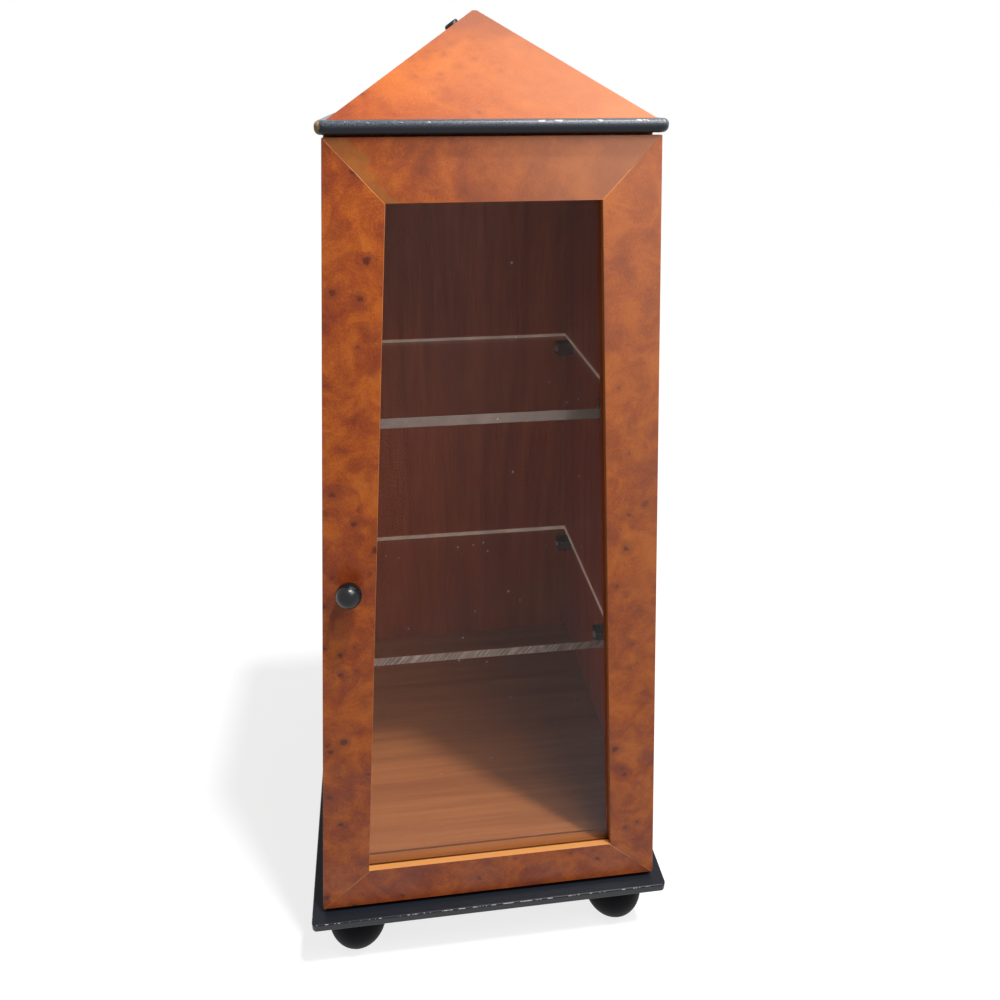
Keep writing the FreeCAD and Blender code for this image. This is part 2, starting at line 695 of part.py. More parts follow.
keep(block_between("door_catch", CATCH_LOW, CATCH_HIGH, catch_across(CATCH_LOW), catch_along(CATCH_LOW),
                   catch_across(CATCH_HIGH), catch_along(CATCH_HIGH)), "door_catch")
strike = doc.addObject("Part::Box", "strike_plate")
strike.setExpression("Length", "Dims.strike_width")
strike.setExpression("Width", "Levels.strike_height")
strike.setExpression("Height", "Dims.strike_thickness")
strike_low = dim("catch_level") - level("strike_height") / 2
strike_high = dim("catch_level") + level("strike_height") / 2
strike_half = dim("case_bottom_width") / 2 - level("edge_taper") * strike_high
strike_x = -(strike_half - level("side_run") - dim("strike_from_wall"))
strike_back = -dim("door_thickness") - dim("strike_thickness")
strike.Placement = front_frame.multiply(at(strike_x, strike_low, strike_back))
keep(strike, "strike_plate")
catch_screws = []
strike_screws = []
for number, side in enumerate((-1, 1), start=1):
    screw_z = catch_middle + side * (dim("catch_height") / 2 - dim("catch_screw_from_end"))
    catch_x = -across_at(screw_z) + level("side_run") + dim("catch_width")
    catch_y = -along_at(screw_z) + level("catch_run") + dim("catch_depth") / 2
    catch_screws.append(screw("catch_screw_" + str(number), "Dims.catch_width + Dims.screw_bite",
                              at(catch_x, catch_y, screw_z, Y_AXIS, -90)))
    strike_up = dim("catch_level") + side * (dim("catch_height") + dim("strike_tab")) / 2
    strike_screws.append(screw(
        "strike_screw_" + str(number), "Dims.strike_thickness + Dims.screw_bite",
        front_frame.multiply(at(strike_x + dim("strike_width") / 2, strike_up, strike_back)),
    ))
group("catch_screws", catch_screws)
group("strike_screws", strike_screws)

# Shelves on small blocks screwed to the side walls
support_screws = []
SHELVES = (("upper", "Levels.upper_shelf_z", "upper_shelf_z", "upper_shelf_setback"),
           ("lower", "Levels.lower_shelf_z", "lower_shelf_z", "lower_shelf_setback"))
for name, under, under_name, setback in SHELVES:
    above = "(" + under + " + Dims.shelf_thickness)"
    half = "(" + inner_across(above) + " - Dims.shelf_side_gap)"
    front = "(-" + half_along(under) + " + Dims." + setback + ")"
    rear = "(" + half_along(above) + " - Levels.back_run - Dims.shelf_back_gap)"
    shelf = doc.addObject("Part::Box", name + "_shelf")
    shelf.setExpression("Length", "2 * " + half)
    shelf.setExpression("Width", rear + " - " + front)
    shelf.setExpression("Height", "Dims.shelf_thickness")
    shelf.setExpression("Placement.Base.x", "-" + half)
    shelf.setExpression("Placement.Base.y", front)
    shelf.setExpression("Placement.Base.z", under)
    keep(shelf, name + "_shelf")
    supports = []
    base = "(" + under + " - Dims.support_height)"
    rear_start = rear + " - Dims.support_from_back - Dims.support_width"
    front_start = front + " + Dims.support_from_front"
    middle = level(under_name) - dim("support_height") / 2
    shelf_top = level(under_name) + dim("shelf_thickness")
    rear_y = (along_at(shelf_top) - level("back_run") - dim("shelf_back_gap")
              - dim("support_from_back") - dim("support_width") / 2)
    front_y = (-along_at(level(under_name)) + dim(setback) + dim("support_from_front")
               + dim("support_width") / 2)
    for end, start, screw_y in (("rear", rear_start, rear_y), ("front", front_start, front_y)):
        along = (start, start + " + Dims.support_width")
        low = inner_across(base)
        high = inner_across(under)
        supports.append(block_between(
            name + "_support_left_" + end, base, under,
            ("-" + low, "-" + low + " + Dims.support_reach"), along,
            ("-" + high, "-" + high + " + Dims.support_reach"), along,
        ))
        supports.append(block_between(
            name + "_support_right_" + end, base, under,
            (low + " - Dims.support_reach", low), along,
            (high + " - Dims.support_reach", high), along,
        ))
        reach = across_at(middle) - level("side_run") - dim("support_reach")
        for side, turn in ((-1, -90), (1, 90)):
            support_screws.append(screw(
                name + "_support_screw_" + end + ("_left" if side < 0 else "_right"),
                "Dims.support_reach + Dims.screw_bite", at(side * reach, screw_y, middle, Y_AXIS, turn),
            ))
    group(name + "_shelf_supports", supports)
group("shelf_support_screws", support_screws)

# Check every object, then write one file for each piece
doc.recompute()
faults = []
for piece in doc.Objects:
    if "Invalid" in piece.State or "Error" in piece.State:
        faults.append(piece.Label + " has not been made")
for piece in nodes:
    if piece.Shape.isNull() or not piece.Shape.isValid() or not piece.Shape.Solids:
        faults.append(piece.Label + " is not a sound solid")
if faults:
    raise RuntimeError("; ".join(faults))
os.makedirs("parts", exist_ok=True)
for piece in nodes:
    piece.Shape.exportStep(os.path.join("parts", piece.Label + ".step"))
print(len(nodes), "pieces written")
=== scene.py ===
# %% [markdown]
# # A countertop curio cabinet
# The cabinet is a small wooden obelisk with a glazed door. Its boards, hinges and shelves come from a
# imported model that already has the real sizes, so this lesson never moves them. It gives every surface
# its finish: lacquered burl veneer outside, black lacquer on the boards and feet, a red-brown stain
# inside, and clear sheets for the pane and the shelves. All lengths are in metres.

# %% Load the cabinet
import math

import bmesh
import bpy
from mathutils import Matrix, Vector


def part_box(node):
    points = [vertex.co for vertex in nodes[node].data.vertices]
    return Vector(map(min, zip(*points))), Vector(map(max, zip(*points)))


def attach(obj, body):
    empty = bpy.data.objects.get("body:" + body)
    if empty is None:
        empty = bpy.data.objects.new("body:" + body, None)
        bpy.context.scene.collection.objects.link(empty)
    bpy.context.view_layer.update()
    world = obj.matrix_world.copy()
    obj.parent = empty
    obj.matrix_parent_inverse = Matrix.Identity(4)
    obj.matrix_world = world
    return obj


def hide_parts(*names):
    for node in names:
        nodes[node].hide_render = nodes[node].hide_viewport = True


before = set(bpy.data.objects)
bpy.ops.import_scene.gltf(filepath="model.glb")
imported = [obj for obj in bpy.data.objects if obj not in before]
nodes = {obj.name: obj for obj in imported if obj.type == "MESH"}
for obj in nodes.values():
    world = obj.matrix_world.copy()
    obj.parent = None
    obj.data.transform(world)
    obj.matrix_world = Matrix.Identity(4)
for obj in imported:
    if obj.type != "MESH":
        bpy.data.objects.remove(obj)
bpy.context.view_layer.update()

MM = 0.001

# %% [markdown]
# ## The camera
# The picture was taken from close by, a little left of the middle and above the top shelf, looking down
# at the door. A short lens this close makes the base look smaller than the top, so the place of the
# camera matters more than its zoom. The picture was also cropped off-centre, which is what a lens shift
# does: it slides the frame without turning the camera.

# %% Camera
CAMERA_PLACE = Vector((-70.3 * MM, -537.1 * MM, 689.5 * MM))
CAMERA_YAW = math.radians(6.34)
CAMERA_PITCH = math.radians(22.45)
CAMERA_ROLL = math.radians(-0.16)
CAMERA_NEAR = 10 * MM
FRAME_PIXELS = 1000
FOCAL_PIXELS = 719.7
CENTRE_PIXELS = (459.5, 392.9)
SENSOR = 36.0


def aim_camera():
    """Camera with the picture's place, direction, lens and crop."""
    level_reach = math.cos(CAMERA_PITCH)
    forward = Vector((math.sin(CAMERA_YAW) * level_reach, math.cos(CAMERA_YAW) * level_reach,
                      -math.sin(CAMERA_PITCH)))
    level = Vector((math.cos(CAMERA_YAW), -math.sin(CAMERA_YAW), 0))
    right = level * math.cos(CAMERA_ROLL) + level.cross(forward) * math.sin(CAMERA_ROLL)
    up = right.cross(forward)
    lens = bpy.data.cameras.new("picture_camera")
    lens.sensor_width = SENSOR
    lens.lens = SENSOR * FOCAL_PIXELS / FRAME_PIXELS
    lens.shift_x = 0.5 - CENTRE_PIXELS[0] / FRAME_PIXELS
    lens.shift_y = CENTRE_PIXELS[1] / FRAME_PIXELS - 0.5
    lens.clip_start = CAMERA_NEAR
    camera = bpy.data.objects.new("picture_camera", lens)
    turn = Matrix((right, up, -forward)).transposed()
    camera.matrix_world = Matrix.Translation(CAMERA_PLACE) @ turn.to_4x4()
    bpy.context.scene.collection.objects.link(camera)
    bpy.context.scene.camera = camera
    return camera


camera = aim_camera()
print("lens", round(camera.data.lens, 2), "mm")

# %% [markdown]
# ## Wiring helpers
# A material is a tree of small nodes. Building trees by hand is wordy, so a few helpers do the wiring:
# `add` makes a node, `maths` makes one sum, `span` turns a range of values into 0 to 1 with soft ends,
# and `mix` blends two colours. `noise` gives a random value that changes smoothly from place to place and
# mostly stays within NOISE_RANGE, and `shaken` uses it to push points about. An effect that several
# finishes share becomes a node group, which `new_group` opens and `place` puts into a material.

# %% Helpers for node trees
NOISE_RANGE = (0.3, 0.7)


def wire(tree, target, value):
    if isinstance(value, bpy.types.NodeSocket):
        tree.links.new(value, target)
    else:
        target.default_value = value


def add(tree, kind, inputs=None, **settings):
    made = tree.nodes.new("ShaderNode" + kind)
    for name, value in settings.items():
        setattr(made, name, value)
    for name, value in (inputs or {}).items():
        wire(tree, made.inputs[name], value)
    return made


def maths(tree, operation, *values):
    made = add(tree, "Math", operation=operation)
    for target, value in zip(made.inputs, values):
        wire(tree, target, value)
    return made.outputs[0]


def vector_maths(tree, operation, *values):
    made = add(tree, "VectorMath", operation=operation)
    for target, value in zip(made.inputs, values):
        wire(tree, target, value)
    return made.outputs[0]


def span(tree, value, low, high, start=0.0, end=1.0):
    inputs = {"Value": value, "From Min": low, "From Max": high, "To Min": start, "To Max": end}
    return add(tree, "MapRange", inputs, interpolation_type="SMOOTHSTEP").outputs[0]


def mix(tree, share, first, second):
    made = add(tree, "Mix", data_type="RGBA")
    wire(tree, made.inputs[0], share)
    wire(tree, made.inputs[6], first)
    wire(tree, made.inputs[7], second)
    return made.outputs[2]


def noise(tree, vector, scale, detail=3.0, roughness=0.55, distortion=0.0, output="Fac"):
    inputs = {"Vector": vector, "Scale": scale, "Detail": detail, "Roughness": roughness,
              "Distortion": distortion}
    return add(tree, "TexNoise", inputs).outputs[output]


def centred(tree, value, amount):
    """A 0 to 1 value turned into one that swings about 0, by half the amount each way."""
    return maths(tree, "MULTIPLY", maths(tree, "SUBTRACT", value, 0.5), amount)


def shaken(tree, vector, scale, reach):
    """Points pushed about by a noise, by half the reach each way."""
    push = noise(tree, vector, scale, 2.0, output="Color")
    push = vector_maths(tree, "SUBTRACT", push, (0.5, 0.5, 0.5))
    return vector_maths(tree, "ADD", vector, vector_maths(tree, "MULTIPLY", push, (reach, reach, reach)))


def split(tree, vector):
    return add(tree, "SeparateXYZ", {"Vector": vector}).outputs


def rgb(red, green, blue):
    return (red, green, blue, 1.0)


def new_group(name, inputs, outputs):
    """Opens a node group and returns it with its entry and exit sockets."""
    group = bpy.data.node_groups.new(name, "ShaderNodeTree")
    for label, kind, default in inputs:
        made = group.interface.new_socket(label, in_out="INPUT", socket_type="NodeSocket" + kind)
        made.default_value = default
    for label, kind in outputs:
        group.interface.new_socket(label, in_out="OUTPUT", socket_type="NodeSocket" + kind)
    entry = group.nodes.new("NodeGroupInput")
    leave = group.nodes.new("NodeGroupOutput")
    return group, entry.outputs, leave.inputs


def place(tree, group, inputs):
    made = tree.nodes.new("ShaderNodeGroup")
    made.node_tree = group
    for name, value in inputs.items():
        wire(tree, made.inputs[name], value)
    return made.outputs


def new_material(name):
    """Material with a Principled shader; returns the material, its tree and the shader."""
    material = bpy.data.materials.new(name)
    material.use_nodes = True
    tree = material.node_tree
    tree.nodes.clear()
    shader = tree.nodes.new("ShaderNodeBsdfPrincipled")
    output = tree.nodes.new("ShaderNodeOutputMaterial")
    tree.links.new(shader.outputs[0], output.inputs["Surface"])
    return material, tree, shader


def set_inputs(tree, shader, inputs):
    for name, value in inputs.items():
        wire(tree, shader.inputs[name], value)


def bump(tree, height, strength, distance):
    return add(tree, "Bump", {"Height": height, "Strength": strength, "Distance": distance}).outputs[0]


def object_place(tree):
    return add(tree, "TexCoord").outputs["Object"]


def object_normal(tree):
    return add(tree, "TexCoord").outputs["Normal"]


print("helpers ready")

# %% [markdown]
# ## Burl figure, shared by the door, the roof and the sides
# Burl veneer is cut from a knotty growth, so it has no straight grain: patches of orange and dark brown
# run into each other, and small dark eyes, a few millimetres across, lie scattered in them. A picture of
# veneer would repeat and smear on edges. Noise in three dimensions does neither: one slow noise gives the
# patches, a warped one gives the swirls, and the points of a Voronoi pattern give the eyes, each present
# or absent by its own random value.

# %% Burl figure group
BURL_DARK = rgb(0.19, 0.031, 0.009)
BURL_RED = rgb(0.31, 0.055, 0.011)
BURL_GOLD = rgb(0.45, 0.100, 0.010)
BURL_PALE = rgb(0.56, 0.150, 0.024)
BURL_EYE = rgb(0.105, 0.015, 0.005)
BURL_STOPS = ((0.24, BURL_DARK), (0.86, BURL_PALE), (0.44, BURL_RED), (0.62, BURL_GOLD))
SEED_SHIFT = (1.0, 1.7, 0.6)
SWIRL_SCALE, SWIRL_REACH = 30.0, 20 * MM
PATCH_DETAIL = (6.0, 0.64, 0.4)
CLOUD_SCALE, CLOUD_SHARE = 10.0, 0.35
FIBRE_SCALE, FIBRE_SHARE = 1000.0, 0.4
MIDDLE_TONE = 0.49
RAGGED_SCALE, RAGGED_REACH = 240.0, 4 * MM
EYE_CHANCE = (0.2, 0.5)
EYE_SMALLEST, EYE_GROWTH = 0.55, 0.7
EYE_CORE = (0.24, 0.11)
EYE_HALO = (0.72, 0.15, 0.0, 0.55)


def color_ramp(tree, tone, stops):
    """Ramp through (position, colour) stops, of which the first two are its ends."""
    made = add(tree, "ValToRGB", {"Fac": tone})
    made.color_ramp.interpolation = "B_SPLINE"
    for end, (position, color) in zip(made.color_ramp.elements, stops[:2]):
        end.position = position
        end.color = color
    for position, color in stops[2:]:
        made.color_ramp.elements.new(position).color = color
    return made.outputs["Color"]


def build_burl_figure():
    inputs = [
        ("Vector", "Vector", (0, 0, 0)), ("Seed", "Float", 0.0), ("Patch Scale", "Float", 42.0),
        ("Eye Scale", "Float", 72.0), ("Eye Strength", "Float", 0.85), ("Contrast", "Float", 1.0),
        ("Lift", "Float", 0.0),
    ]
    group, entry, leave = new_group("burl_figure", inputs, [("Color", "Color"), ("Height", "Float")])
    seeds = [maths(group, "MULTIPLY", entry["Seed"], amount) for amount in SEED_SHIFT]
    shift = add(group, "CombineXYZ", dict(zip("XYZ", seeds))).outputs[0]
    here = vector_maths(group, "ADD", entry["Vector"], shift)
    warped = shaken(group, here, SWIRL_SCALE, SWIRL_REACH)
    patches = noise(group, warped, entry["Patch Scale"], *PATCH_DETAIL)
    clouds = noise(group, here, CLOUD_SCALE, 2.0)
    fibres = noise(group, warped, FIBRE_SCALE, 2.0, 0.6)
    tone = centred(group, patches, 1.0)
    tone = maths(group, "ADD", tone, centred(group, clouds, CLOUD_SHARE))
    tone = maths(group, "ADD", tone, centred(group, fibres, FIBRE_SHARE))
    tone = maths(group, "MULTIPLY_ADD", tone, entry["Contrast"], MIDDLE_TONE)
    tone = maths(group, "ADD", tone, entry["Lift"])
    ragged = shaken(group, here, RAGGED_SCALE, RAGGED_REACH)
    cells = add(group, "TexVoronoi", {"Vector": ragged, "Scale": entry["Eye Scale"]})
    chance = add(group, "SeparateColor", {"Color": cells.outputs["Color"]}).outputs
    present = span(group, chance[0], *EYE_CHANCE)
    size = maths(group, "MULTIPLY_ADD", chance[1], EYE_GROWTH, EYE_SMALLEST)
    away = maths(group, "DIVIDE", cells.outputs["Distance"], size)
    strength = maths(group, "MULTIPLY", present, entry["Eye Strength"])
    eyes = maths(group, "MULTIPLY", span(group, away, *EYE_CORE), strength)
    halo = maths(group, "MULTIPLY", span(group, away, *EYE_HALO), strength)
    stained = mix(group, halo, color_ramp(group, tone, BURL_STOPS), BURL_DARK)
    wire(group, leave["Color"], mix(group, eyes, stained, BURL_EYE))
    wire(group, leave["Height"], maths(group, "SUBTRACT", fibres, eyes))
    return group


burl_figure = build_burl_figure()
print("group", burl_figure.name)

# %% [markdown]
# ## Straight grain, shared by the stained boards and the bare wood
# Inside, the cabinet is plain stained board. Its grain is long and thin, which is noise squeezed across
# the board and stretched along it. The group takes the stretch as an input, so that one group serves
# upright walls and the flat floor alike.

# %% Straight grain group
BROAD_SCALE, BROAD_SHARE = 70.0, 0.6
NARROW_SCALE, NARROW_SHARE = 420.0, 0.4
PORE_SCALE = 1400.0
PORE_SPAN = (0.58, 0.72)


def build_straight_grain():
    inputs = [("Vector", "Vector", (0, 0, 0)), ("Stretch", "Vector", (1, 1, 0.05))]
    group, entry, leave = new_group("straight_grain", inputs, [("Streaks", "Float"), ("Pores", "Float")])
    along = vector_maths(group, "MULTIPLY", entry["Vector"], entry["Stretch"])
    broad = maths(group, "MULTIPLY", noise(group, along, BROAD_SCALE, 3.0, 0.5, 0.6), BROAD_SHARE)
    narrow = maths(group, "MULTIPLY", noise(group, along, NARROW_SCALE, 4.0, 0.6), NARROW_SHARE)
    pores = noise(group, along, PORE_SCALE, 2.0, 0.5)
    wire(group, leave["Streaks"], span(group, maths(group, "ADD", broad, narrow), *NOISE_RANGE))
    wire(group, leave["Pores"], span(group, pores, *PORE_SPAN))
    return group


straight_grain = build_straight_grain()
print("group", straight_grain.name)

# %% [markdown]
# ## Edge wear, shared by the black boards and the veneer
# Lacquer rubs through where two faces meet. On a rounded edge the surface faces neither along X nor Y nor
# Z, so one minus the largest part of its direction is near 0 on flat faces and grows on the rounding.
# Noise breaks that line into chips. Edges that face down are never knocked, so they keep their lacquer.

# %% Edge wear group
EDGE_SPAN = (0.1, 0.26)
UP_SPAN = (-0.1, 0.2)
WIDE_SCALE, WIDE_SHARE = 17.0, 0.35
CHIP_BORDER = 0.04


def build_edge_wear():
    inputs = [
        ("Vector", "Vector", (0, 0, 0)), ("Normal", "Vector", (0, 0, 1)), ("Chip Scale", "Float", 200.0),
        ("Start", "Float", 0.56),
    ]
    group, entry, leave = new_group("edge_wear", inputs, [("Wear", "Float")])
    parts = split(group, vector_maths(group, "ABSOLUTE", entry["Normal"]))
    largest = maths(group, "MAXIMUM", maths(group, "MAXIMUM", parts[0], parts[1]), parts[2])
    edge = span(group, maths(group, "SUBTRACT", 1.0, largest), *EDGE_SPAN)
    chips = noise(group, entry["Vector"], entry["Chip Scale"], 4.0, 0.62)
    wide = noise(group, entry["Vector"], WIDE_SCALE, 2.0)
    chips = maths(group, "ADD", chips, centred(group, wide, WIDE_SHARE))
    worn = span(group, chips, entry["Start"], maths(group, "ADD", entry["Start"], CHIP_BORDER))
    up = split(group, entry["Normal"])[2]
    exposed = maths(group, "MULTIPLY", edge, span(group, up, *UP_SPAN))
    wire(group, leave["Wear"], maths(group, "MULTIPLY", worn, exposed))
    return group


edge_wear = build_edge_wear()
print("group", edge_wear.name)

# %% [markdown]
# ## Dust, shared by the pane and the shelves
# Clear sheets are only seen by what lies on them, such as specks of dust. Specks are the centres of
# Voronoi cells, kept small and few.

# %% Dust group
SPECK_SIZE = (0.12, 0.05)
SPECK_BORDER = 0.02


def build_dust():
    inputs = [("Vector", "Vector", (0, 0, 0)), ("Speck Scale", "Float", 160.0), ("Kept", "Float", 0.8)]
    group, entry, leave = new_group("dust", inputs, [("Specks", "Float")])
    cells = add(group, "TexVoronoi", {"Vector": entry["Vector"], "Scale": entry["Speck Scale"]})
    chance = add(group, "SeparateColor", {"Color": cells.outputs["Color"]}).outputs[1]
    present = span(group, chance, entry["Kept"], maths(group, "ADD", entry["Kept"], SPECK_BORDER))
    near = span(group, cells.outputs["Distance"], *SPECK_SIZE)
    wire(group, leave["Specks"], maths(group, "MULTIPLY", near, present))
    return group


dust = build_dust()
print("group", dust.name)

# %% [markdown]
# ## Burl veneer
# The veneer is lacquered, so on the door the colour sits under a clear coat: the Principled shader's coat
# does that. The roof has lost its polish, so it has no coat and is rougher. Towards the upper right the
# veneer is painted paler and pinker, a painted sheen of reflected light, and fewer of its eyes show there.
# Each board was cut from another part of the sheet, so each gets its own seed.
# On the door, the boards meet on mitres, where a thin pale line of glue and bare edge shows.

# %% Mitres and painted sheen
MITRE_PALE = rgb(0.62, 0.26, 0.085)
HONEY = rgb(0.32, 0.120, 0.028)
# Pale pink of the painted sheen, which stands for light reflected towards the upper right.
VENEER_SHEEN_PAINT = rgb(0.345, 0.160, 0.096)
# Pale colour of the painted highlight on the lip round the pane.
LIP_HIGHLIGHT_PAINT = rgb(0.62, 0.26, 0.075)
UPPER_RIGHT_CENTRE = 370 * MM
UPPER_RIGHT_RISE = 0.4
WOBBLE_SCALE, WOBBLE_REACH = 130.0, 1.6 * MM
MITRE_WIDTH = (0.75 * MM, 0.2 * MM)
MITRE_FADE_SCALE = 45.0
MITRE_FADE = (0.38, 0.6, 0.05, 0.75)
HONEY_RAGGED_SCALE, HONEY_RAGGED_REACH = 60.0, 40 * MM
HONEY_REACH = (15 * MM, 9 * MM)
HONEY_LEFT = (-30 * MM, -50 * MM)
HONEY_TOP = (46 * MM, 38 * MM)
HONEY_BORDER = (-0.6 * MM, 0.4 * MM)
HONEY_SHARE = 0.6
door_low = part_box("door_bottom_rail")[0]
door_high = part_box("door_top_rail")[1]
DOOR_HALF_LOW = -door_low.x
DOOR_TAPER = (DOOR_HALF_LOW - door_high.x) / (door_high.z - door_low.z)


def mitre_masks(tree, vector):
    """Pale line on the door's mitres, and the honey patch beside the top left one."""
    parts = split(tree, vector)
    from_low = maths(tree, "SUBTRACT", parts[2], door_low.z)
    from_high = maths(tree, "SUBTRACT", door_high.z, parts[2])
    half = maths(tree, "SUBTRACT", DOOR_HALF_LOW, maths(tree, "MULTIPLY", from_low, DOOR_TAPER))
    from_side = maths(tree, "SUBTRACT", half, maths(tree, "ABSOLUTE", parts[0]))
    wobble = centred(tree, noise(tree, vector, WOBBLE_SCALE), WOBBLE_REACH)
    lines = []
    for from_end in (from_low, from_high):
        off = maths(tree, "ADD", maths(tree, "SUBTRACT", from_side, from_end), wobble)
        lines.append(span(tree, maths(tree, "ABSOLUTE", off), *MITRE_WIDTH))
    line = maths(tree, "MAXIMUM", *lines)
    fade = span(tree, noise(tree, vector, MITRE_FADE_SCALE, 2.0), *MITRE_FADE)
    across = maths(tree, "SUBTRACT", from_side, from_high)
    ragged = centred(tree, noise(tree, vector, HONEY_RAGGED_SCALE), HONEY_RAGGED_REACH)
    patch = span(tree, maths(tree, "ADD", across, ragged), *HONEY_REACH)
    for value, limits in ((parts[0], HONEY_LEFT), (from_high, HONEY_TOP), (across, HONEY_BORDER)):
        patch = maths(tree, "MULTIPLY", patch, span(tree, value, *limits))
    return maths(tree, "MULTIPLY", line, fade), maths(tree, "MULTIPLY", patch, HONEY_SHARE)


def towards_upper_right(tree, vector):
    """How far up and to the right a point lies, where the veneer gets a painted sheen and fewer eyes."""
    parts = split(tree, vector)
    rise = maths(tree, "MULTIPLY", maths(tree, "SUBTRACT", parts[2], UPPER_RIGHT_CENTRE), UPPER_RIGHT_RISE)
    return maths(tree, "ADD", parts[0], rise)


print("door half width", round(DOOR_HALF_LOW / MM, 1), "mm, taper", round(DOOR_TAPER, 4))

# %% Burl veneer material
EYES_FADE = (0.18, 0.10)
VENEER_SHEEN_SPAN = (0.0, 0.22)
WEAR_SHARE = 0.5
LIP_SPAN = (0.5, 0.85)
GLOSS_SCALE = 34.0
GLOSS_CHANGE = 0.16
VENEER_BUMP = (0.25, 0.12 * MM)


def burl_veneer(name, seed, faded, eyes, wear_start, opening=None, roughness=0.34, polish=0.12,
                **figure_values):
    """Lacquered burl; opening is the way from a door board to the pane, where the lip has a painted
    highlight.
    """
    material, tree, shader = new_material(name)
    vector = object_place(tree)
    exposed = towards_upper_right(tree, vector)
    figure = place(tree, burl_figure, {
        "Vector": vector, "Seed": seed, "Eye Strength": span(tree, exposed, *EYES_FADE, 0.0, eyes),
        **figure_values,
    })
    worn = place(tree, edge_wear, {"Vector": vector, "Normal": object_normal(tree), "Start": wear_start})
    # Painted sheen: towards the upper right the colour turns paler and pinker, standing for reflected light.
    color = mix(tree, span(tree, exposed, *VENEER_SHEEN_SPAN, 0.0, faded), figure["Color"], VENEER_SHEEN_PAINT)
    color = mix(tree, maths(tree, "MULTIPLY", worn["Wear"], WEAR_SHARE), color, MITRE_PALE)
    if opening is not None:
        line, patch = mitre_masks(tree, vector)
        color = mix(tree, patch, color, HONEY)
        color = mix(tree, line, color, MITRE_PALE)
        # Painted highlight: the lip faces that look into the opening are painted paler, standing for light
        # on them.
        towards = add(tree, "VectorMath", {0: object_normal(tree), 1: opening}, operation="DOT_PRODUCT")
        color = mix(tree, span(tree, towards.outputs["Value"], *LIP_SPAN), color, LIP_HIGHLIGHT_PAINT)
    patchy = noise(tree, vector, GLOSS_SCALE)
    set_inputs(tree, shader, {
        "Base Color": color, "Specular IOR Level": 0.22, "Coat Weight": polish, "Coat Roughness": 0.25,
        "Roughness": span(tree, patchy, *NOISE_RANGE, roughness, roughness + GLOSS_CHANGE),
        "Normal": bump(tree, figure["Height"], *VENEER_BUMP),
    })
    return material


def dress(node, material):
    """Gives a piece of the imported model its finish."""
    slots = nodes[node].data.materials
    slots.clear()
    slots.append(material)


DOOR_BOARDS = {
    "door_left_stile": {"opening": (1, 0, 0), "faded": 0.3, "eyes": 1.0, "Contrast": 1.35, "Lift": 0.03},
    "door_right_stile": {"opening": (-1, 0, 0), "faded": 0.42, "eyes": 1.0, "Contrast": 1.4, "Lift": 0.07},
    "door_top_rail": {"opening": (0, 0, -1), "faded": 0.7, "eyes": 0.25, "Contrast": 1.2, "Lift": -0.02},
    "door_bottom_rail": {"opening": (0, 0, 1), "faded": 0.2, "eyes": 0.9, "Contrast": 1.2, "Lift": -0.06},
}
DOOR_WEAR = 0.5
NO_WEAR = 2.0
DOOR_SEED, DOOR_SEED_STEP = 1.3, 2.1
ROOF_SEED, ROOF_SEED_STEP = 11.7, 1.9
ROOF_BOARDS = ("roof_front", "roof_right", "roof_back", "roof_left")
ROOF_FIGURE = {
    "faded": 0.6, "eyes": 0.55, "roughness": 0.62, "polish": 0.0, "Patch Scale": 15.0, "Eye Scale": 105.0,
}
for number, (board, values) in enumerate(DOOR_BOARDS.items()):
    seed = DOOR_SEED + DOOR_SEED_STEP * number
    dress(board, burl_veneer("burl_" + board, seed, wear_start=DOOR_WEAR, **values))
for number, board in enumerate(ROOF_BOARDS):
    seed = ROOF_SEED + ROOF_SEED_STEP * number
    dress(board, burl_veneer("burl_" + board, seed, wear_start=NO_WEAR, **ROOF_FIGURE))
print("veneered", len(DOOR_BOARDS) + len(ROOF_BOARDS), "boards")

# %% [markdown]
# ## Stained boards inside
# Inside, a red-brown stain covers the back, the ceiling and the inner faces of the side walls, and a
# browner one covers the floor. A side wall has veneer outside and stain inside, and it is one board, so
# its material asks which way the surface faces and blends the two finishes.

# %% Stained wood and side walls
STAIN_DARK = rgb(0.36, 0.062, 0.0135)
STAIN_LIGHT = rgb(0.56, 0.110, 0.0230)
FLOOR_DARK = rgb(0.26, 0.074, 0.019)
FLOOR_LIGHT = rgb(0.37, 0.120, 0.033)
UPRIGHT_GRAIN = (1.0, 1.0, 0.03)
CROSS_GRAIN = (0.03, 1.0, 1.0)
PORE_SHARE = 0.35
STAIN_BUMP = (0.2, 0.1 * MM)
FACING_SPAN = (0.4, 0.6)


def stain(tree, vector, grain, dark, light):
    """Colour and pores of stained board."""
    figure = place(tree, straight_grain, {"Vector": vector, "Stretch": grain})
    color = mix(tree, figure["Streaks"], dark, light)
    return mix(tree, maths(tree, "MULTIPLY", figure["Pores"], PORE_SHARE), color, dark), figure["Pores"]


def stained_wood(name, grain, dark=STAIN_DARK, light=STAIN_LIGHT):
    material, tree, shader = new_material(name)
    color, pores = stain(tree, object_place(tree), grain, dark, light)
    set_inputs(tree, shader, {
        "Base Color": color, "Roughness": span(tree, pores, 0.0, 1.0, 0.42, 0.6), "Specular IOR Level": 0.3,
        "Normal": bump(tree, maths(tree, "SUBTRACT", 1.0, pores), *STAIN_BUMP),
    })
    return material


